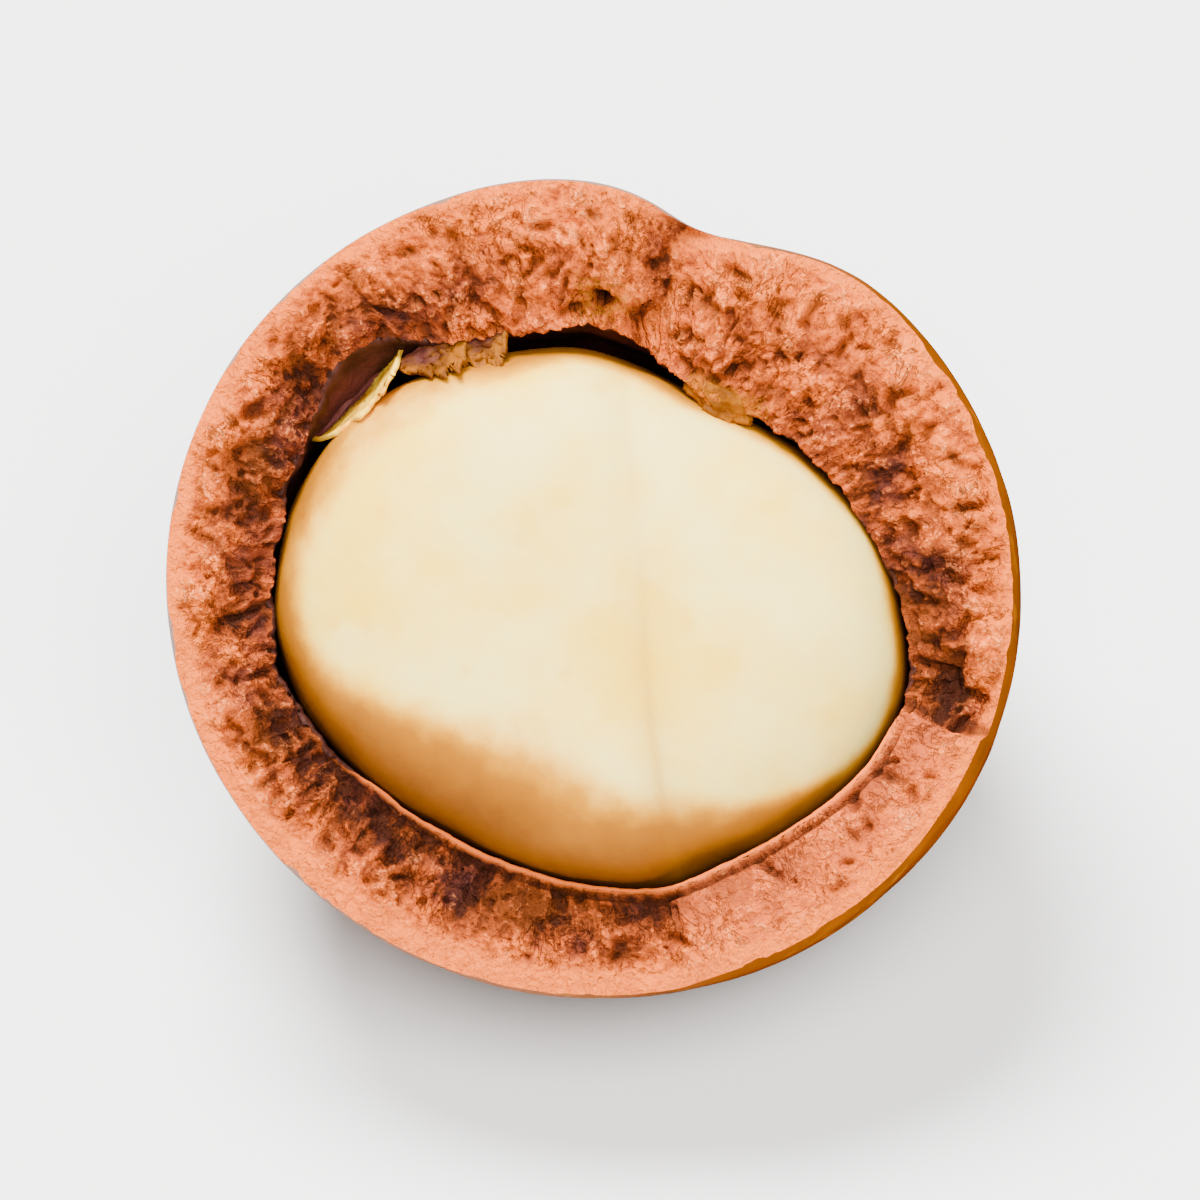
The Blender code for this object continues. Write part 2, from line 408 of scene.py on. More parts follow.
def outside_point(angle, share):
    """Radius and height on the outside, from the closed end (0) to the break (1)."""
    last = np.arccos(-rim_height(angle) / SHELL_DEPTH)
    polar = share * last
    dimple = (DIMPLE_DEPTH * hump(angle, DIMPLE_ANGLE, DIMPLE_WIDTH)
              + CREASE_NOTCH * hump(angle, CREASE_ANGLE, CREASE_WIDTH))
    chips = np.maximum(wander(OUTER_WANDER, angle) - CHIP_LEVEL, 0.0)
    at_rim = (RIM_FLARE * ease(pi / 2, last, polar)
              - CHIP_DEPTH * chips * ease(last - CHIP_REACH, last, polar))
    radius = (widest_radius(angle) * np.sin(polar) + at_rim
              - dimple * ease(DIMPLE_STARTS, pi / 2, polar))
    return radius, -SHELL_DEPTH * np.cos(polar)


def lip_share(angle):
    """One where the smooth lining makes a thin lip along the inner edge of the break."""
    turn = angle % FULL_TURN
    return ease(*LIP_BEGINS, turn) * (1 - ease(*LIP_ENDS, turn))


def inner_edge(angle):
    ragged = INNER_UNEVEN * wander(INNER_WANDER, angle) * (1 - LIP_CALM * lip_share(angle))
    return ring_value(INNER_EDGE_MM, angle) * MM + ragged


def break_point(angle, share):
    """Radius and height on the break, from its outer edge (0) to its inner edge (1)."""
    outer_radius, outer_height = outside_point(angle, 1.0)
    radius = blend(outer_radius, inner_edge(angle), share)
    height = outer_height - BREAK_FALL * share ** 1.5 + BREAK_CROWN * np.sin(pi * share)
    return radius, height


def kernel_outline(angle):
    """Radius of the kernel's widest section around its own middle."""
    return ring_value(KERNEL_EDGE_MM, angle) * MM


def fullness(level, power=KERNEL_FULLNESS):
    """How far a rounded section stands out beyond an oval one, for points at this slope."""
    across, up = np.cos(level), np.abs(np.sin(level))
    return (across ** power + up ** power) ** (-1 / power)


def cavity_place(angle, share):
    """Place on the cavity's wall, from the break's inner edge (0) to its bottom (1)."""
    edge_radius, edge_height = break_point(angle, 1.0)
    middle_x, middle_y, middle_z = KERNEL_CENTRE
    across = edge_radius * np.cos(angle) - middle_x
    along = edge_radius * np.sin(angle) - middle_y
    own_angle = np.arctan2(along, across)
    edge_distance = np.hypot(across, along)
    widest = kernel_outline(own_angle) + SIDE_GAP
    down_wall = np.clip(share / WALL_SHARE, 0.0, 1.0)
    dip = np.clip((share - WALL_SHARE) / (1 - WALL_SHARE), 0.0, 1.0) * pi / 2
    distance = blend(edge_distance, widest, ease(0.0, WALL_HOLLOW, down_wall))
    distance *= np.cos(dip) * fullness(dip)
    height = (blend(edge_height, middle_z, down_wall)
              - (KERNEL_DEPTH + BOTTOM_GAP) * np.sin(dip) * fullness(dip))
    return middle_x + distance * np.cos(own_angle), middle_y + distance * np.sin(own_angle), height


def shell_places(angle, stage):
    """Places of the shell's points: stage 0 to 1 outside, 1 to 2 break, 2 to 3 cavity."""
    outside_radius, outside_height = outside_point(angle, np.clip(stage, 0, 1))
    break_radius, break_height = break_point(angle, np.clip(stage - 1, 0, 1))
    cavity_x, cavity_y, cavity_z = cavity_place(angle, np.clip(stage - 2, 0, 1))
    radius = np.where(stage <= 1, outside_radius, break_radius)
    height = np.where(stage <= 1, outside_height, break_height)
    inside = stage > 2
    return np.stack((np.where(inside, cavity_x, radius * np.cos(angle)),
                     np.where(inside, cavity_y, radius * np.sin(angle)),
                     np.where(inside, cavity_z, height)), axis=1)


# Meshes

def nut_placement():
    middle_height = sqrt(SHELL_DEPTH ** 2 - FLAT_SPOT_RADIUS ** 2)
    return Matrix.Translation((0, 0, middle_height)) @ Matrix.Rotation(LEAN_BACK, 4, "X")


def set_down(points):
    """Lean the points back, set them on the ground and flatten what would be below it."""
    placement = np.array(nut_placement())
    placed = points @ placement[:3, :3].T + placement[:3, 3]
    placed[:, 2] = np.maximum(placed[:, 2], 0.0)
    return placed


def read_all(items, name, width=1, kind=float):
    """Every item's value of this name, one row for each item."""
    values = np.empty(len(items) * width, dtype=kind)
    items.foreach_get(name, values)
    return values.reshape(-1, width) if width > 1 else values


def mesh_points(mesh):
    return read_all(mesh.vertices, "co", 3)


def raised(mesh, points, lift):
    """Points moved by their own lift along the normals of the mesh that they make."""
    mesh.vertices.foreach_set("co", points.ravel())
    mesh.update()
    normals = read_all(mesh.vertex_normals, "vector", 3)
    return points + normals * lift[:, None]


def on_part(part, values):
    """Values for all points, given those of one part; the others get zero."""
    whole = np.zeros((len(part), *np.shape(values)[1:]))
    whole[part] = values
    return whole


def paint_mask(mesh, name, values):
    """Keep a value for each point, for the material to read."""
    mask = mesh.attributes.new(name, "FLOAT", "POINT")
    mask.data.foreach_set("value", np.asarray(values, dtype=np.float32))


def turned_mesh(name):
    """Turn the shell's profile round its axis; each point keeps its stage along the profile."""
    bm = bmesh.new()
    stage_layer = bm.verts.layers.float.new("stage")
    stages = np.concatenate((np.linspace(0, 1, OUTSIDE_ROWS + 1),
                             np.linspace(1, 2, BREAK_ROWS + 1)[1:],
                             np.linspace(2, 3, CAVITY_ROWS + 1)[1:]))
    profile = []
    for stage, place in zip(stages, shell_places(np.zeros_like(stages), stages)):
        on_axis = stage in (0, 3)
        vert = bm.verts.new((0.0 if on_axis else place[0], 0.0, place[2]))
        vert[stage_layer] = stage
        profile.append(vert)
    for pair in zip(profile, profile[1:]):
        bm.edges.new(pair)
    line = bpy.data.meshes.new("profile")
    bm.to_mesh(line)
    bm.free()
    turned = put_in_scene("profile", line)
    screw = turned.modifiers.new("turn", "SCREW")
    screw.steps = SHELL_SEGMENTS
    screw.render_steps = SHELL_SEGMENTS
    screw.use_merge_vertices = True
    screw.merge_threshold = 1e-6
    screw.use_normal_calculate = True
    evaluated = turned.evaluated_get(bpy.context.evaluated_depsgraph_get())
    mesh = bpy.data.meshes.new_from_object(evaluated)
    mesh.name = name
    bpy.data.objects.remove(turned, do_unlink=True)
    return mesh


def grain_places(angle, from_inner, points):
    """Places for noise on the break that draw it out along the radius, with a waver in it."""
    waver = GRAIN_WAVER * noise_field(points, GRAIN_WAVER_SIZE, 2, 14)
    around = angle + waver / RIM_RADIUS
    return np.stack((RIM_RADIUS * np.cos(around), RIM_RADIUS * np.sin(around),
                     (from_inner + waver) / GRAIN_STRETCH), axis=1)


def crumb_relief(points, grain, sizes):
    """Broken wood: blunt lumps, tilted chips and splinters, and sharp valleys between them."""
    lumps = noise_field(points, 2.2 * sizes.crumb_size, 2, 1)
    chips = chip_field(grain, sizes.crumb_size, 2)
    splinters = chip_field(grain, 0.45 * sizes.crumb_size, 3)
    rough = noise_field(grain, 0.5 * sizes.crumb_size, 3, 4, hard=True)
    return spread(0.30 * spread(lumps) + 0.36 * spread(chips) + 0.18 * spread(splinters)
                  + 0.16 * spread(rough))


def hollow_masks(points):
    """How much painted shade the break's larger hollows get, and how deep they are, at each point.
    """
    shade = np.zeros(len(points))
    depth = np.zeros(len(points))
    for degrees, radius, width, deep in BREAK_HOLLOWS:
        middle_x = radius * MM * cos(radians(degrees))
        middle_y = radius * MM * sin(radians(degrees))
        spot = bell(np.hypot(points[:, 0] - middle_x, points[:, 1] - middle_y), width * MM)
        shade = np.maximum(shade, spot)
        depth += deep * MM * spot
    return shade, depth


def pit_mask(points):
    """Small sharp pits, thickest in the inner part of the break and few on the raised facet."""
    draw = np.random.default_rng(PIT_SEED)
    mask = np.zeros(len(points))
    for _ in range(PIT_COUNT):
        angle = np.array(draw.uniform(0, FULL_TURN))
        share = draw.uniform(*PIT_PLACES)
        keep = (1 - 0.75 * facet_share(angle)) * (0.45 + 0.55 * share)
        width = draw.uniform(*PIT_WIDTHS)
        stretch = draw.uniform(*PIT_STRETCHES)
        turn = angle + draw.normal(0, 1.0)
        if draw.uniform() > keep:
            continue
        radius, _ = break_point(angle, share)
        away_x = points[:, 0] - radius * cos(angle)
        away_y = points[:, 1] - radius * sin(angle)
        long_way = (away_x * np.cos(turn) + away_y * np.sin(turn)) / stretch
        short_way = away_y * np.cos(turn) - away_x * np.sin(turn)
        distance = np.hypot(long_way, short_way) / width
        mask = np.maximum(mask, np.exp(-distance ** 3))
    return mask


def pore_masks(points):
    """The pore itself, and the stained wood round it."""
    across = points[:, 0] - PORE_RADIUS * cos(PORE_ANGLE)
    along = points[:, 1] - PORE_RADIUS * sin(PORE_ANGLE)
    distance = np.hypot(across, along * PORE_FLATNESS)
    distance = distance * (1 + 0.35 * noise_field(points, 0.5 * MM, 2, 9))
    return np.exp(-(distance / PORE_WIDTH) ** 4), bell(distance, PORE_HALO)


def crease_mask(angle, share):
    """Sharp valley where two facets of the break meet at the dimple, and its shaded side."""
    middle = CREASE_ANGLE + CREASE_SLANT * share + CREASE_WAVER * np.sin(9 * share)
    across = turned_by(angle, middle)
    valley = np.exp(-np.abs(across) / VALLEY_WIDTH) * (1 - ease(0.8, 1.0, share))
    shaded_side = bell(across, SHADE_WIDTH) * (across > 0) * (1 - ease(0.7, 1.0, share))
    return valley, shaded_side


def pocket_mask(angle, share):
    """Torn pocket just above the step where the facet ends: it is sunk, and painted darker as
    shade.
    """
    across = hump(angle, POCKET_ANGLE, POCKET_WIDTH) * (1 - facet_share(angle))
    return across * ease(0.02, 0.15, share) * (1 - ease(0.60, 0.85, share))


def crack_mask(angle, share):
    """Hairline radial cracks that start at the outer edge."""
    draw = np.random.default_rng(PIT_SEED + 1)
    mask = np.zeros(len(angle))
    for middle in np.linspace(CRACK_FROM, CRACK_TO, CRACK_COUNT):
        middle = middle + draw.uniform(-1, 1) * CRACK_SHIFT
        reach = draw.uniform(0.18, 0.55)
        bend = draw.uniform(-1, 1) * CRACK_BEND * share ** 2
        line = hump(angle, middle + bend, CRACK_WIDTH)
        strength = draw.uniform(0.35, 1.0)
        mask = np.maximum(mask, strength * line * (1 - ease(reach * 0.5, reach, share)))
    return mask


def break_marks(points, angle, share, sizes):
    """Crumbs, hollows, cracks and edges of the break: how strong each is at its points."""
    breadth = outside_point(angle, 1.0)[0] - inner_edge(angle)
    from_outer = share * breadth
    from_inner = (1 - share) * breadth
    facet = facet_share(angle)
    lined = lip_share(angle)
    uneven = BAND_UNEVEN * (wander(RIM_WANDER, angle) + 0.5 * wander(INNER_WANDER, angle))
    least, most = np.outer(BAND_EDGE, ring_value(BAND_WIDTH_MM, angle) * MM)
    band = 1 - ease(least, most, from_outer + uneven)
    light = blend(ring_value(OUTER_LIGHT, angle), ring_value(INNER_LIGHT, angle),
                  ease(*LIGHT_CHANGES, share))
    grain = grain_places(angle, from_inner, points)
    shade, depth = hollow_masks(points)
    pore, halo = pore_masks(points)
    valley, shaded_side = crease_mask(angle, share)
    pocket = pocket_mask(angle, share)
    stain = 1.2 * hump(angle, BEAD_ANGLE, STAIN_WIDTH) * (1 - ease(*STAIN_REACH, from_inner))
    by_lining = 1 - ease(CALM_FROM * lined, CALM_TO * (1 + lined), from_inner)
    rough = (1 - 0.85 * band) * (1 - 0.6 * facet) * ease(*CRUMBS_SET_IN, from_outer)
    return SimpleNamespace(
        from_outer=from_outer, facet=facet, band=band, grain=grain, depth=depth, pore=pore,
        valley=valley, pocket=pocket, crumb=crumb_relief(points, grain, sizes),
        rough=rough * (1 - (0.6 + 0.4 * lined) * by_lining),
        # Lightness: the tables' tone, with painted shade in the hollows, on the crease's shaded
        # side and in the pocket, and painted light towards the facet's step
        light=(light - 0.55 * shade - 1.1 * shaded_side - 0.8 * pocket
               + 0.30 * facet * ease(FACET_BRIGHTENS_FROM, FACET_END, angle)),
        pits=pit_mask(points) * (1 - 0.9 * band) * ease(*PITS_SET_IN, from_outer),
        cracks=crack_mask(angle, share),
        groove=bell(from_inner - GROOVE_PLACE, GROOVE_WIDTH) * lined,
        lip=(1 - ease(*LIP_EDGE, from_inner)) * lined,
        step_shadow=hump(angle, FACET_END + STEP_EASE, STEP_SHADOW_WIDTH),
        stain=np.clip(stain + 0.8 * halo * (1 - pore), 0, 1))


def break_lift(marks, sizes):
    """How far the marks raise or sink the break."""
    hollows = marks.depth * ease(*HOLLOWS_SET_IN, marks.from_outer)
    pits = PIT_DEPTH * marks.pits * (1 - marks.lip)
    lift = (sizes.crumb_relief * (marks.crumb - CRUMB_LEVEL) * marks.rough
            - sizes.hollow_share * (hollows + pits)
            - PORE_DEPTH * marks.pore
            - CREASE_VALLEY * marks.valley
            - POCKET_DEPTH * marks.pocket
            - CRACK_DEPTH * marks.cracks
            - GROOVE_DEPTH * marks.groove
            + LIP_HEIGHT * marks.lip)
    return lift * ease(*RELIEF_SETS_IN, marks.from_outer)


def dress_break(mesh, points, angle, stage, sizes):
    """Raise and sink the break, and keep the masks for its colours."""
    on_break = (stage >= 1) & (stage <= 2)
    marks = break_marks(points[on_break], angle[on_break], stage[on_break] - 1, sizes)
    # Darker marks: cracks, the pore and pits, and painted shade in the crease's valley, along the
    # facet's step and in the groove behind the lip
    dark = 0.5 * marks.cracks + marks.pore + 0.8 * marks.pits + 0.5 * marks.valley
    dark = (dark + 0.9 * marks.step_shadow) * (1 - marks.lip) + 0.9 * marks.groove
    masks = {"crumb": marks.crumb, "light": marks.light, "outer_band": marks.band,
             "facet": marks.facet, "dark_line": np.clip(dark, 0, 1), "lip": marks.lip,
             "gum": marks.stain}
    for name, values in masks.items():
        paint_mask(mesh, name, on_part(on_break, values))
    grain_place = mesh.attributes.new("grain_place", "FLOAT_VECTOR", "POINT")
    grain_place.data.foreach_set("vector", on_part(on_break, marks.grain).ravel())
    return raised(mesh, points, on_part(on_break, break_lift(marks, sizes)))


def dress_outside(mesh, points, angle, stage, sizes):
    """Slight unevenness of the hard skin, and distances to its seam and its crack."""
    outside = stage < 1
    swell = on_part(outside, noise_field(points[outside], SWELL_SIZE, 2, 4))
    dents = on_part(outside, noise_field(points[outside], DENT_SIZE, 2, 5))
    seam_side = points @ np.array(SEAM_PLANE)
    crack_side = points @ np.array(CRACK_PLANE) - CRACK_OFFSET
    paint_mask(mesh, "seam_side", seam_side / MM)
    paint_mask(mesh, "crack_side", crack_side / MM)
    paint_mask(mesh, "rim_share", ease(0.88, 1.0, stage))
    right_side = ease(-0.3, 0.6, np.cos(angle + DULL_TURN))
    paint_mask(mesh, "dull", ease(0.5, 0.86, stage) * right_side)
    lift = (sizes.skin_swell * (swell + 0.25 * dents)
            - OUTER_SEAM_DEPTH * bell(seam_side, OUTER_SEAM_WIDTH))
    return raised(mesh, points, lift * outside * (1 - ease(0.93, 1.0, stage)))


def dress_cavity(mesh, points, stage):
    """Fine unevenness of the lining, well inside the gap round the kernel."""
    inside = stage > 2
    uneven = on_part(inside, noise_field(points[inside], LINING_SIZE, 3, 6))
    paint_mask(mesh, "cavity_share", np.clip(stage - 2, 0, 1))
    return raised(mesh, points, LINING_DEPTH * uneven * ease(2.0, 2.1, stage))


def crisp_ring(mesh, stage):
    """Keep the outer edge of the break sharp."""
    ends = read_all(mesh.edges, "vertices", 2, int)
    on_ring = np.abs(stage[ends] - 1) < 1e-4
    sharp = mesh.attributes.new("sharp_edge", "BOOLEAN", "EDGE")
    sharp.data.foreach_set("value", on_ring.all(axis=1))


def share_materials(mesh, stage, materials):
    """Skin outside, broken wood on the break, lining in the cavity."""
    for material in materials:
        mesh.materials.append(material)
    corners = read_all(mesh.loops, "vertex_index", kind=int)
    starts = read_all(mesh.polygons, "loop_start", kind=int)
    least = np.minimum.reduceat(stage[corners], starts)
    mesh.polygons.foreach_set("material_index", np.clip(np.floor(least + 1e-4), 0, 2).astype(int))


# Shader writing

class Value:
    """A socket of a material that can be used in sums; each sum adds a Math node."""

    def __init__(self, recipe, socket):
        self.recipe = recipe
        self.socket = socket

    def sum_with(self, operation, *terms):
        node = self.recipe.tree.nodes.new("ShaderNodeMath")
        node.operation = operation
        for number, term in enumerate(terms):
            self.recipe.feed(node.inputs[number], term)
        return Value(self.recipe, node.outputs[0])

    def __add__(self, other):
        return self.sum_with("ADD", self, other)

    def __radd__(self, other):
        return self.sum_with("ADD", other, self)

    def __sub__(self, other):
        return self.sum_with("SUBTRACT", self, other)

    def __rsub__(self, other):
        return self.sum_with("SUBTRACT", other, self)

    def __mul__(self, other):
        return self.sum_with("MULTIPLY", self, other)

    def __rmul__(self, other):
        return self.sum_with("MULTIPLY", other, self)

    def size(self):
        return self.sum_with("ABSOLUTE", self)

    def at_most(self, other):
        return self.sum_with("MINIMUM", self, other)

    def at_least(self, other):
        return self.sum_with("MAXIMUM", self, other)


class Recipe:
    """A material made step by step: colours are laid over each other, and bumps add up."""

    def __init__(self, name):
        self.material = bpy.data.materials.new(name)
        self.material.use_nodes = True
        self.tree = self.material.node_tree
        self.shader = self.tree.nodes["Principled BSDF"]
        self.place = self.add("ShaderNodeTexCoord", output="Object")
        self.colour = None
        self.normal = None

    def feed(self, socket, source):
        """Link a value, or set a number, colour or vector on the socket."""
        if isinstance(source, Value):
            self.tree.links.new(source.socket, socket)
        elif socket.type == "RGBA":
            socket.default_value = (*source, 1.0)
        else:
            socket.default_value = source

    def add(self, kind, settings=None, inputs=None, output=0):
        """Add a node: its settings first, then its inputs, and give one of its outputs."""
        node = self.tree.nodes.new(kind)
        for name, setting in (settings or {}).items():
            if name == "stops":
                self.set_stops(node.color_ramp, setting)
            else:
                setattr(node, name, setting)
        for name, source in (inputs or {}).items():
            self.feed(node.inputs[name], source)
        return Value(self, node.outputs[output])

    def set_stops(self, ramp, stops):
        while len(ramp.elements) < len(stops):
            ramp.elements.new(1.0)
        for element, (position, colour) in zip(ramp.elements, stops):
            element.position = position
            element.color = (*colour, 1.0)

    def mask(self, name, output="Fac"):
        """What the mesh keeps under this name at each point."""
        return self.add("ShaderNodeAttribute", {"attribute_name": name}, output=output)

    def grain(self, size, detail=3.0, roughness=0.55, distortion=0.0, place=None):
        """Noise with features of this size in metres, from 0 to 1."""
        return self.add("ShaderNodeTexNoise", None,
                        {"Vector": place or self.place, "Scale": 1.0 / size, "Detail": detail,
                         "Roughness": roughness, "Distortion": distortion}, "Fac")

    def cells(self, size, output="Distance", place=None):
        return self.add("ShaderNodeTexVoronoi", None,
                        {"Vector": place or self.place, "Scale": 1.0 / size}, output)

    def step_up(self, value, low, high):
        """Zero below low, one above high, eased between them."""
        return self.add("ShaderNodeMapRange", {"interpolation_type": "SMOOTHSTEP"},
                        {"Value": value, "From Min": low, "From Max": high}, "Result")

    def mix(self, share, first, second):
        """Colour between first and second."""
        return self.add("ShaderNodeMix", {"data_type": "RGBA"}, {0: share, 6: first, 7: second}, 2)

    def paint(self, share, colour):
        """Lay a colour over what is there, where the share says."""
        self.colour = self.mix(share, self.colour, colour)

    def ramp(self, value, stops):
        return self.add("ShaderNodeValToRGB", {"stops": stops}, {"Fac": value}, "Color")

    def stretched(self, amounts):
        return self.add("ShaderNodeVectorMath", {"operation": "MULTIPLY"},
                        {0: self.place, 1: amounts}, 0)

    def bump(self, height, depth):
        """Raise the surface by this height, on top of the earlier bumps."""
        inputs = {"Height": height, "Distance": depth, "Strength": 1.0}
        if self.normal:
            inputs["Normal"] = self.normal
        self.normal = self.add("ShaderNodeBump", None, inputs, "Normal")

    def finished(self, **inputs):
        """The material, with its colour, its bumps and the shader's other sockets set.

        Underscores in a socket's name stand for spaces.
        """
        inputs["Base_Color"] = self.colour
        if self.normal:
            inputs["Normal"] = self.normal
        for name, source in inputs.items():
            self.feed(self.shader.inputs[name.replace("_", " ")], source)
        return self.material


# Materials

def skin_material(colours):
    """Hard satin skin: yellow brown with darker clouds, soft gold flecks, a seam and a crack."""
    skin = Recipe("shell_skin")
    cloudy = skin.grain(7.5 * MM, 4.0, 0.6, 0.6)
    mottled = skin.grain(2.6 * MM, 5.0, 0.62, 0.4)
    skin.colour = skin.mix(skin.step_up(cloudy, 0.38, 0.66), colours.skin_orange, colours.skin_red)
    skin.paint(0.65 * skin.step_up(mottled, 0.42, 0.75), colours.skin_brown)

    streaks = skin.stretched((1.0, 1.25, 0.70))
    ragged = skin.grain(0.5 * MM, 4.0)
    clusters = skin.step_up(skin.grain(5.0 * MM, 2.0), 0.40, 0.60)
    gilded = skin.step_up(skin.grain(3.2 * MM, 3.0, 0.6, 0.5), 0.50, 0.72)
    skin.paint(0.30 * gilded, colours.skin_gold)
    patches = skin.grain(1.15 * MM, 2.0, 0.5, 0.1, streaks) + 0.12 * (ragged - 0.5)
    fleck = skin.step_up(patches, 0.56, 0.70) * clusters
    skin.paint(0.65 * fleck, colours.skin_gold)

    specks = 1 - skin.step_up(skin.cells(0.7 * MM) + 0.25 * ragged, 0.16, 0.28)
    specks = specks * skin.step_up(mottled, 0.50, 0.60)
    skin.paint(0.5 * specks, colours.skin_dark)

    line_wobble = 0.5 * (skin.grain(2.0 * MM, 4.0) - 0.5)
    seam = 1 - skin.step_up((skin.mask("seam_side") + line_wobble).size(), 0.01, 0.11)
    opening = skin.step_up(cloudy, 0.42, 0.60)
    crack_side = (skin.mask("crack_side") + 3.0 * line_wobble).size()
    crack = 1 - skin.step_up(crack_side, 0.0, 0.005 + 0.16 * opening)
    crack = crack * skin.step_up(opening, 0.0, 0.1)
    lines = (0.7 * seam).at_least(crack)
    skin.paint(0.9 * lines, colours.skin_dark)
    skin.paint(0.35 * skin.mask("rim_share"), colours.skin_gold)

    tiny = skin.grain(0.18 * MM, 3.0)
    skin.bump(mottled, 0.06 * MM)
    skin.bump(fleck, 0.02 * MM)
    skin.bump(tiny, 0.006 * MM)
    skin.bump(1 - lines, 0.12 * MM)
    return skin.finished(Roughness=0.32 + 0.20 * mottled + 0.25 * lines, Specular_IOR_Level=0.0,
                         Coat_Weight=0.36 * (1 - skin.mask("dull")), Coat_Roughness=0.30)


def break_material(colours):
    """Broken shell wood: pink-brown grains with dark marks between them, a smooth pale edge, and
    painted light and shade on its crumbs.
    """
    wood = Recipe("broken_shell")
    along_grain = wood.mask("grain_place", "Vector")
    fibres = wood.step_up(wood.grain(0.34 * MM, 4.0, 0.55, 0.25), 0.33, 0.67)
    fine = wood.step_up(wood.grain(0.13 * MM, 3.0, 0.55, 0.1), 0.32, 0.68)
    broad = wood.grain(1.6 * MM, 3.0, 0.6, 0.4)
    clumps = wood.step_up(wood.grain(0.75 * MM, 3.0, 0.5, 0.6, along_grain), 0.36, 0.64)
    strokes = (wood.grain(0.50 * MM, 5.0, 0.66, 0.5, along_grain) - 0.5).size()
    strokes = (1 - wood.step_up(strokes, 0.003, 0.030)) * wood.step_up(broad, 0.44, 0.60)
    band = wood.step_up(wood.mask("outer_band") + 0.5 * (fibres - 0.5), 0.25, 0.80)
    light = wood.mask("light")
    facet = wood.mask("facet")

    chip_tone = wood.add("ShaderNodeSeparateColor", None,
                         {"Color": wood.cells(0.30 * MM, "Color", along_grain)}, "Red")
    # Tone: partly the wood's own colour, partly painted light and shade, with high crumbs lighter
    # and low ones darker
    tone = 0.34 * wood.mask("crumb") + 0.16 * fibres + 0.10 * fine + 0.12 * chip_tone
    tone = tone + 0.20 * clumps + 0.8 * (broad - 0.5)
    tone = tone * (1 - 0.5 * band) + 0.42 * light + 0.10 * band + 0.06 * facet
    wood.colour = wood.ramp(tone, [(0.12, colours.break_pit), (0.32, colours.break_brown),
                                   (0.52, colours.break_pink), (0.76, colours.break_pale),
                                   (0.98, colours.break_band)])
    tint = wood.grain(2.3 * MM, 2.0)
    wood.paint(0.22 * wood.step_up(tint, 0.50, 0.66), colours.break_orange)
    cool = (1 - wood.step_up(tint, 0.38, 0.50)) * (1 - light).at_most(1.0)
    wood.paint(0.45 * cool, colours.break_purple)
    wood.paint(0.55 * facet * (1 - 0.5 * fibres), colours.break_facet)
    wood.paint(0.45 * strokes * (1 - band) * (1 - 0.6 * facet), colours.break_pit)
    # Painted highlights: glints on the high crumbs, stronger where the painted light is
    glints = wood.step_up(fine * wood.mask("crumb"), 0.50, 0.70) * (0.5 + 0.5 * light)
    wood.paint(0.6 * glints, colours.break_glint)
    # Pale outer band, painted lighter where the lightness mask holds painted light
    wood.paint(band * (0.2 + 0.7 * light), colours.break_band)
    wood.paint(0.85 * wood.mask("lip"), colours.break_band)
    gum = wood.step_up(wood.mask("gum") + 0.5 * (fine - 0.5), 0.35, 0.7)
    wood.paint(0.75 * gum, colours.gum)
    # Cracks, pits and the pore, and painted shade in the crease, along the step and in the groove
    wood.paint(0.9 * wood.mask("dark_line"), colours.break_pit)

    rough = 1 - wood.mask("lip")
    wood.bump(rough * fibres, 0.08 * MM)
    wood.bump(rough * fine, 0.025 * MM)
    wood.bump(rough * (1 - strokes * (1 - 0.8 * band)), 0.08 * MM)
    return wood.finished(Roughness=0.66 - 0.25 * gum + 0.2 * fibres, Specular_IOR_Level=0.06)


def lining_material(colours):
    """Lining of the cavity: dark brown with a purple bloom, with painted shade in a dark red-brown
    next to the break.
    """
    lining = Recipe("shell_lining")
    bloom = lining.step_up(lining.grain(1.6 * MM, 4.0, 0.6), 0.35, 0.7)
    fibres = lining.grain(0.28 * MM, 4.0, 0.6, 0.5)
    lining.colour = lining.mix(bloom, colours.lining_dark, colours.lining_purple)
    # Painted shade where the break's edge hangs over the lining
    edge = 1 - lining.step_up(lining.mask("cavity_share") + 0.06 * (fibres - 0.5), 0.04, 0.16)
    lining.paint(0.5 * edge, colours.break_pit)
    lining.bump(fibres, 0.06 * MM)
    return lining.finished(Roughness=0.5 + 0.3 * fibres, Specular_IOR_Level=0.15)


def kernel_material(colours):
    """Roasted kernel: cream, waxy, with an amber edge where it lay against the shell."""
    flesh = Recipe("kernel_flesh")
    cloudy = flesh.grain(4.5 * MM, 3.0)
    mealy = flesh.grain(0.9 * MM, 4.0, 0.6)
    fine = flesh.grain(0.16 * MM, 3.0)
    clouds = flesh.step_up(cloudy, 0.35, 0.7)
    flesh.colour = flesh.mix(clouds, colours.kernel_cream, colours.kernel_butter)
    toast = flesh.mask("toast")
    unevenness = 0.50 * (cloudy - 0.5) + 0.20 * (mealy - 0.5)
    toast = toast + unevenness * flesh.step_up(toast, 0.0, 0.25)
    toast_colour = flesh.ramp(toast, [(0.0, colours.kernel_butter), (0.26, colours.kernel_honey),
                                      (0.50, colours.kernel_gold), (0.76, colours.kernel_amber),
                                      (1.0, colours.kernel_brown)])
    spots = 1 - flesh.step_up(flesh.cells(1.9 * MM) + 0.3 * mealy, 0.18, 0.36)
    flesh.paint(0.20 * spots, colours.kernel_honey)
    flesh.paint(flesh.step_up(toast, 0.0, 0.42), toast_colour)
    # Gold of the seam's fine line, and painted shade beside it
    flesh.paint(0.42 * flesh.mask("kernel_seam"), colours.kernel_gold)
    flesh.bump(mealy, 0.035 * MM)
    flesh.bump(fine, 0.010 * MM)
    return flesh.finished(Roughness=0.42 + 0.18 * mealy, Subsurface_Weight=0.18,
                          Subsurface_Radius=(1.0, 0.55, 0.25), Subsurface_Scale=0.5 * MM,
                          Specular_IOR_Level=0.08)


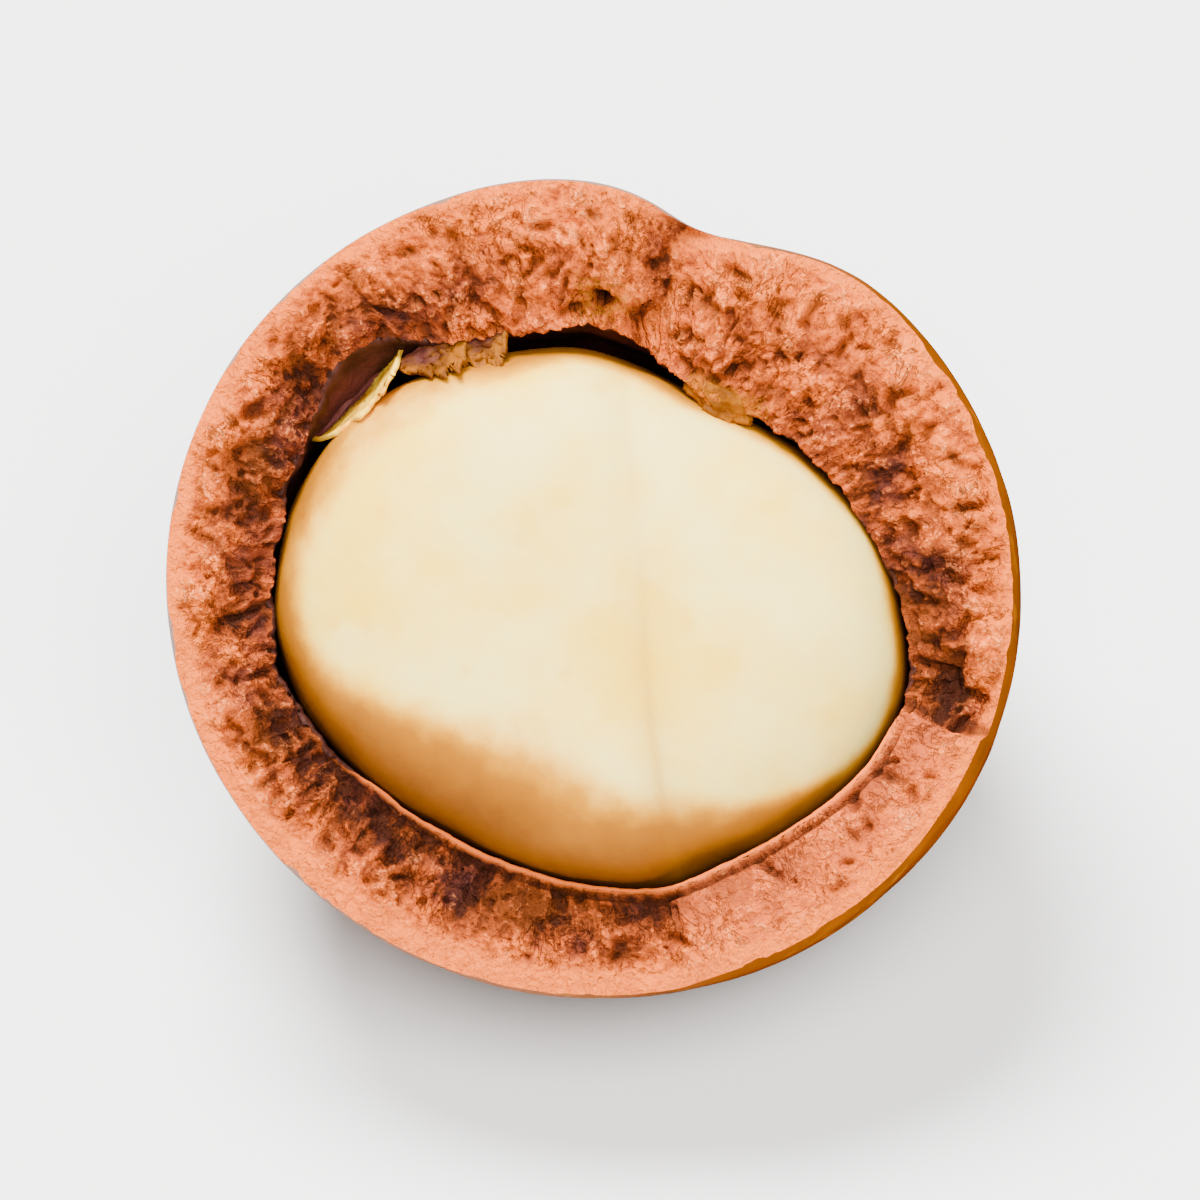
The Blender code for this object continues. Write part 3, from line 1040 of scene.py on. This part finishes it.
def seed_skin_material(name, folds, free_edge):
    """Dried seed skin: papery, one pair of colours in its folds and one at its free edge."""
    paper = Recipe(name)
    fibres = paper.grain(0.22 * MM, 4.0, 0.65, 0.8)
    blotch = paper.grain(0.8 * MM, 3.0)
    inner = paper.mix(paper.step_up(blotch, 0.38, 0.62), *folds)
    free = paper.mix(paper.step_up(blotch, 0.42, 0.60), *free_edge)
    edge = paper.step_up(paper.mask("free_edge") + 0.3 * (fibres - 0.5), 0.50, 0.72)
    paper.colour = paper.mix(edge, inner, free)
    paper.bump(fibres, 0.05 * MM)
    return paper.finished(Roughness=0.5 + 0.2 * fibres, Specular_IOR_Level=0.12)


def gum_material(colours):
    """Dried gum: amber, glossy in places."""
    gum = Recipe("dried_gum")
    cloudy = gum.grain(0.7 * MM, 4.0, 0.6)
    clouds = gum.step_up(cloudy, 0.42, 0.60)
    gum.colour = gum.mix(clouds, colours.kernel_brown, colours.kernel_amber)
    gum.bump(gum.grain(0.2 * MM, 3.0), 0.04 * MM)
    return gum.finished(Roughness=0.4 + 0.3 * cloudy, Specular_IOR_Level=0.05)


def floor_material(colour):
    """Matt pale floor with a barely visible grain."""
    floor = Recipe("floor")
    floor.colour = floor.mix(0.03 * floor.grain(1.2 * MM, 3.0), colour, (0.6, 0.6, 0.6))
    return floor.finished(Roughness=0.8)


# Pieces

def plain_mesh(name, form, **measures):
    """A mesh made straight from one of the plain forms, such as a ball or a grid."""
    bm = bmesh.new()
    form(bm, **measures)
    mesh = bpy.data.meshes.new(name)
    bm.to_mesh(mesh)
    bm.free()
    return mesh


def put_in_scene(name, data):
    """A new object with this mesh, lamp or camera; it takes the place of an earlier one."""
    earlier = bpy.data.objects.get(name)
    if earlier:
        bpy.data.objects.remove(earlier, do_unlink=True)
    thing = bpy.data.objects.new(name, data)
    bpy.context.scene.collection.objects.link(thing)
    return thing


def add_piece(name, mesh, points, node=None):
    """Place a finished mesh on the nut, and stand it in for its plain solid."""
    mesh.vertices.foreach_set("co", set_down(points).ravel())
    mesh.shade_smooth()
    mesh.update()
    piece = put_in_scene(name, mesh)
    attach(piece, "root")
    if node:
        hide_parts(node)
    return piece


def make_shell(settings):
    mesh = turned_mesh("half_shell")
    turned = mesh_points(mesh)
    angle = np.arctan2(turned[:, 1], turned[:, 0]) % FULL_TURN
    stage = read_all(mesh.attributes["stage"].data, "value")
    points = shell_places(angle, stage)
    points = dress_outside(mesh, points, angle, stage, settings.sizes)
    points = dress_break(mesh, points, angle, stage, settings.sizes)
    points = dress_cavity(mesh, points, stage)
    colours = settings.colours
    share_materials(mesh, stage, (skin_material(colours), break_material(colours),
                                  lining_material(colours)))
    add_piece("half_shell", mesh, points, "shell")
    crisp_ring(mesh, stage)


def kernel_seam(across, along, near_top):
    """How deep the kernel is sunk along its seam, and how dark the seam is: its fine line, and a
    broad painted shade along it.
    """
    waver = SEAM_WAVER * np.sin(along / SEAM_WAVER_LENGTH)
    from_seam = across - SEAM_OFFSET + SEAM_SLANT * along - waver
    low_part = 1 - 0.65 * ease(*SEAM_FADES, along)
    line = bell(from_seam, SEAM_LINE_WIDTH) * near_top * low_part
    shade = 0.5 * bell(from_seam, SEAM_SHADE_WIDTH) * near_top * low_part
    sunk = SEAM_DEPTH * bell(from_seam, SEAM_WIDTH) * near_top + SEAM_LINE_DEPTH * line
    return sunk, np.maximum(line, shade)


def make_kernel(settings):
    mesh = plain_mesh("whole_kernel", bmesh.ops.create_icosphere,
                      subdivisions=KERNEL_FINENESS, radius=1.0)
    ball = mesh_points(mesh)
    angle = np.arctan2(ball[:, 1], ball[:, 0]) % FULL_TURN
    above = ball[:, 2] > 0
    level = np.arcsin(np.clip(ball[:, 2], -1, 1))
    fuller = np.where(above, fullness(level, KERNEL_TOP_FULLNESS), fullness(level))
    unit = ball * fuller[:, None]
    outline = kernel_outline(angle)
    across = unit[:, 0] * outline
    along = unit[:, 1] * outline
    sunk, dark = kernel_seam(across, along, ease(0.1, 0.5, unit[:, 2]))
    height = unit[:, 2] * np.where(above, KERNEL_HEIGHT, KERNEL_DEPTH) - sunk
    points = np.stack((across, along, height), axis=1)
    swell = noise_field(points, KERNEL_SWELL_SIZE, 2, 8)
    points = points * (1 + KERNEL_SWELL * swell)[:, None]
    from_edge = outline - np.hypot(across, along)
    toast = np.clip(1 - from_edge / (ring_value(TOAST_REACH_MM, angle) * MM), 0, 1)
    toast *= ring_value(TOAST_STRENGTH, angle)
    paint_mask(mesh, "toast", np.where(above, toast, np.maximum(toast, TOAST_BELOW)))
    paint_mask(mesh, "kernel_seam", dark)
    mesh.materials.append(kernel_material(settings.colours))
    add_piece("whole_kernel", mesh, points + np.array(KERNEL_CENTRE), "kernel")


def make_flake(name, form, material):
    """A thin curled scrap of seed skin, fixed to the shell along its outer edge."""
    mesh = plain_mesh(name, bmesh.ops.create_grid, size=0.5, **FLAKE_FINENESS)
    flat = mesh_points(mesh)
    along = flat[:, 0] + 0.5
    inward = flat[:, 1] + 0.5
    ragged = noise_field(flat, FLAKE_RAG_SIZE, 3, len(name))
    inward = inward * (1 + form["ragged"] * ragged * inward)
    ends = np.sin(pi * np.clip(along, 0, 1)) ** FLAKE_BLUNTNESS
    angle = np.radians(blend(form["start"], form["end"], along))
    radius = blend(form["outer"][0], form["inner"][0], inward * ends) * MM
    sag = form["sag"] * np.sin(pi * np.clip(inward, 0, 1))
    crumple = FLAKE_CRUMPLE_MM * noise_field(flat, FLAKE_CRUMPLE_SIZE, 3, len(name) + 2)
    height = (blend(form["outer"][1], form["inner"][1], inward ** 2 * ends) - sag + crumple) * MM
    paint_mask(mesh, "free_edge", np.clip(inward, 0, 1))
    mesh.materials.append(material)
    points = np.stack((radius * np.cos(angle), radius * np.sin(angle), height), axis=1)
    piece = add_piece(name, mesh, points)
    thick = piece.modifiers.new("thickness", "SOLIDIFY")
    thick.thickness = FLAKE_THICKNESS
    thick.offset = 0.0


def make_bead(settings):
    mesh = plain_mesh("gum_bead", bmesh.ops.create_icosphere,
                      subdivisions=BEAD_FINENESS, radius=1.0)
    ball = mesh_points(mesh)
    lumpy = 1 + BEAD_LUMPS * noise_field(ball, BEAD_LUMP_SIZE, 4, 11)
    shaped = ball * np.array(BEAD_SIZES) * lumpy[:, None]
    turn = np.array(Matrix.Rotation(BEAD_ANGLE + pi / 2, 3, "Z"))
    centre = (BEAD_RADIUS * cos(BEAD_ANGLE), BEAD_RADIUS * sin(BEAD_ANGLE), BEAD_HEIGHT)
    mesh.materials.append(gum_material(settings.colours))
    add_piece("gum_bead", mesh, shaped @ turn.T + np.array(centre))


# Stage

def aim(thing, target):
    direction = Vector(target) - thing.location
    thing.rotation_euler = direction.to_track_quat("-Z", "Y").to_euler()


def from_angles(azimuth, elevation, distance):
    """Place at this distance; azimuth 0 is in front, on the -Y side."""
    flat = distance * cos(elevation)
    return Vector((flat * sin(azimuth), -flat * cos(azimuth), distance * sin(elevation)))


def add_lamp(name, power, target, azimuth, elevation, distance, size):
    lamp = bpy.data.lights.new(name, "AREA")
    lamp.shape = "DISK"
    lamp.size = size
    lamp.energy = power
    holder = put_in_scene(name, lamp)
    holder.location = Vector(target) + from_angles(azimuth, elevation, distance)
    aim(holder, target)


def make_floor(colour):
    mesh = plain_mesh("floor", bmesh.ops.create_grid, x_segments=1, y_segments=1, size=FLOOR_SIZE)
    mesh.materials.append(floor_material(colour))
    floor = put_in_scene("floor", mesh)
    floor.location.z = -FLOOR_GAP


def make_camera(stage, target):
    camera = bpy.data.cameras.new("camera")
    camera.sensor_width = SENSOR_WIDTH
    camera.lens = SENSOR_WIDTH * stage.camera_distance / stage.frame_width
    camera.clip_start = 0.01
    camera.clip_end = 10.0
    holder = put_in_scene("camera", camera)
    holder.location = Vector(target) + from_angles(stage.camera_azimuth, stage.camera_elevation,
                                                   stage.camera_distance)
    aim(holder, target)
    holder.rotation_euler.rotate_axis("Z", stage.camera_roll)
    bpy.context.scene.camera = holder


def make_world(colour, strength):
    world = bpy.data.worlds.new("soft_room")
    world.use_nodes = True
    background = world.node_tree.nodes["Background"]
    background.inputs["Color"].default_value = (*colour, 1.0)
    background.inputs["Strength"].default_value = strength
    bpy.context.scene.world = world


# Settings that a user would change

# Kinds of number settings
LENGTH = dict(min=0.0, subtype="DISTANCE", unit="LENGTH", precision=5)
ANGLE = dict(subtype="ANGLE", unit="ROTATION")
POWER = dict(min=0.0, unit="POWER")

# Colours as a screen shows them, 0 to 255, and what each is for
COLOURS = {
    "skin_orange": ((100, 44, 2), "Ground colour of the skin"),
    "skin_red": ((80, 32, 4), "Red-brown clouds of the skin"),
    "skin_brown": ((52, 23, 3), "Brown mottling of the skin"),
    "skin_gold": ((146, 79, 0), "Flecks and gilded patches of the skin"),
    "skin_dark": ((26, 10, 1), "Specks and cracks of the skin"),
    # Dark brown of pits, cracks and grain marks, also used as painted shade in valleys, along the
    # step, in the groove and at the lining's edge
    "break_pit": ((50, 20, 8), "Valleys and cracks of the break"),
    # Low and high crumbs of the break: partly their own colour, partly painted shade and painted
    # light
    "break_brown": ((100, 42, 15), "Low crumbs of the break"),
    "break_pink": ((152, 64, 22), "Crumbs of the break"),
    "break_pale": ((208, 92, 22), "High crumbs of the break"),
    "break_orange": ((156, 72, 6), "Warm patches of the break"),
    "break_purple": ((76, 35, 31), "Cool patches of the break"),
    # Colour of the painted highlights on the crumbs
    "break_glint": ((244, 142, 80), "Bright crumbs of the break"),
    "break_facet": ((200, 92, 42), "Smooth facet of the break"),
    "break_band": ((226, 106, 32), "Outer band and inner lip of the break"),
    "gum": ((150, 82, 0), "Dried gum round the pore and on the inner edge"),
    "lining_dark": ((44, 16, 6), "Lining of the cavity"),
    "lining_purple": ((78, 36, 30), "Bloom on the lining"),
    "kernel_cream": ((255, 227, 128), "Ground colour of the kernel"),
    "kernel_butter": ((255, 206, 50), "Warmer clouds of the kernel"),
    "kernel_honey": ((230, 156, 2), "Where the kernel begins to be toasted"),
    "kernel_gold": ((164, 99, 0), "Gold of the kernel's edge and its seam"),
    "kernel_amber": ((132, 73, 0), "Amber of the kernel's edge"),
    "kernel_brown": ((98, 51, 0), "Darkest part of the kernel's edge"),
}


def number_setting(name, description, default, **kind):
    return bpy.props.FloatProperty(name=name, description=description, default=default, **kind)


def colour_setting(name, shown, description):
    return bpy.props.FloatVectorProperty(name=name.replace("_", " ").capitalize(), min=0.0, max=1.0,
                                         description=description, default=screen_colour(*shown),
                                         subtype="COLOR")


class NutSizes(bpy.types.PropertyGroup):
    crumb_relief: number_setting("Crumb relief", "Height of the crumbs on the break",
                                 0.36 * MM, **LENGTH)
    crumb_size: number_setting("Crumb size", "Width of the coarse crumbs on the break",
                               0.62 * MM, **LENGTH)
    skin_swell: number_setting("Skin unevenness", "Depth of the uneven skin outside",
                               0.06 * MM, **LENGTH)
    hollow_share: number_setting("Hollows", "How deep the hollows in the break are",
                                 1.0, min=0.0, max=2.0)


class NutColours(bpy.types.PropertyGroup):
    __annotations__ = {name: colour_setting(name, *details) for name, details in COLOURS.items()}


class NutStage(bpy.types.PropertyGroup):
    floor_colour: colour_setting("floor_colour", (244, 243, 241), "Colour of the floor")
    room_strength: number_setting("Room light", "Strength of the light from all round",
                                  0.36, min=0.0)
    key_power: number_setting("Key light", "Power of the lamp overhead and behind", 6.9, **POWER)
    fill_power: number_setting("Fill light", "Power of the lamp near the camera", 6.0, **POWER)
    camera_azimuth: number_setting("Camera azimuth", "Turn of the camera to the right",
                                   radians(7.5), **ANGLE)
    camera_elevation: number_setting("Camera elevation", "Height of the camera above the floor",
                                     radians(50), **ANGLE)
    camera_roll: number_setting("Camera roll", "Turn of the camera about its view",
                                radians(-5.9), **ANGLE)
    camera_distance: number_setting("Camera distance", "From the camera to the nut", 0.5, **LENGTH)
    frame_width: number_setting("Frame width", "Width that the camera sees at the nut",
                                0.0385, **LENGTH)


class NutSettings(bpy.types.PropertyGroup):
    sizes: bpy.props.PointerProperty(type=NutSizes)
    colours: bpy.props.PointerProperty(type=NutColours)
    stage: bpy.props.PointerProperty(type=NutStage)


# Operators

class MACADAMIA_OT_shell(bpy.types.Operator):
    """Build the half shell with its skin, its rough break and its lining"""
    bl_idname = "macadamia.shell"
    bl_label = "Half shell"

    def execute(self, context):
        make_shell(context.scene.macadamia)
        return {"FINISHED"}


class MACADAMIA_OT_kernel(bpy.types.Operator):
    """Build the whole kernel in the shell"""
    bl_idname = "macadamia.kernel"
    bl_label = "Kernel"

    def execute(self, context):
        make_kernel(context.scene.macadamia)
        return {"FINISHED"}


class MACADAMIA_OT_scraps(bpy.types.Operator):
    """Build the scraps of dried seed skin and the bead of gum at the cavity's edge"""
    bl_idname = "macadamia.scraps"
    bl_label = "Seed skin scraps"

    def execute(self, context):
        settings = context.scene.macadamia
        colours = settings.colours
        pale = seed_skin_material("pale_seed_skin", (colours.lining_purple, colours.break_purple),
                                  (colours.kernel_butter, colours.kernel_honey))
        amber = seed_skin_material("amber_seed_skin", (colours.kernel_brown, colours.lining_purple),
                                   (colours.kernel_amber, colours.kernel_brown))
        for name, form in SKIN_FLAKES.items():
            make_flake(name, form, pale if form["pale"] else amber)
        make_bead(settings)
        return {"FINISHED"}


class MACADAMIA_OT_stage(bpy.types.Operator):
    """Set the floor, the lamps and the camera"""
    bl_idname = "macadamia.stage"
    bl_label = "Floor, light and camera"

    def execute(self, context):
        stage = context.scene.macadamia.stage
        low, high = CAD_BOX
        target = [(a + b) / 2 for a, b in zip(low, high)]
        make_floor(tuple(stage.floor_colour))
        make_world(ROOM_COLOUR, stage.room_strength)
        add_lamp("key_lamp", stage.key_power, target, **KEY_LAMP)
        add_lamp("fill_lamp", stage.fill_power, target, **FILL_LAMP)
        make_camera(stage, target)
        return {"FINISHED"}


class MACADAMIA_PT_panel(bpy.types.Panel):
    """Lists the steps and the settings"""
    bl_label = "Macadamia"
    bl_space_type = "VIEW_3D"
    bl_region_type = "UI"
    bl_category = "Macadamia"

    def draw(self, context):
        settings = context.scene.macadamia
        for step in STEPS:
            self.layout.operator(step.bl_idname)
        for group in (settings.sizes, settings.colours, settings.stage):
            box = self.layout.box()
            for name in group.__annotations__:
                box.prop(group, name)


STEPS = (MACADAMIA_OT_shell, MACADAMIA_OT_kernel, MACADAMIA_OT_scraps, MACADAMIA_OT_stage)
GROUPS = (NutSizes, NutColours, NutStage, NutSettings)


def register():
    for group in GROUPS + STEPS + (MACADAMIA_PT_panel,):
        bpy.utils.register_class(group)
    bpy.types.Scene.macadamia = bpy.props.PointerProperty(type=NutSettings)


def unregister():
    del bpy.types.Scene.macadamia
    for group in reversed(GROUPS + STEPS + (MACADAMIA_PT_panel,)):
        bpy.utils.unregister_class(group)


def corners(box):
    return [[float(value) for value in corner] for corner in box]


def main():
    register()
    bpy.ops.macadamia.shell()
    bpy.ops.macadamia.kernel()
    bpy.ops.macadamia.scraps()
    bpy.ops.macadamia.stage()


if __name__ == "__main__":
    main()
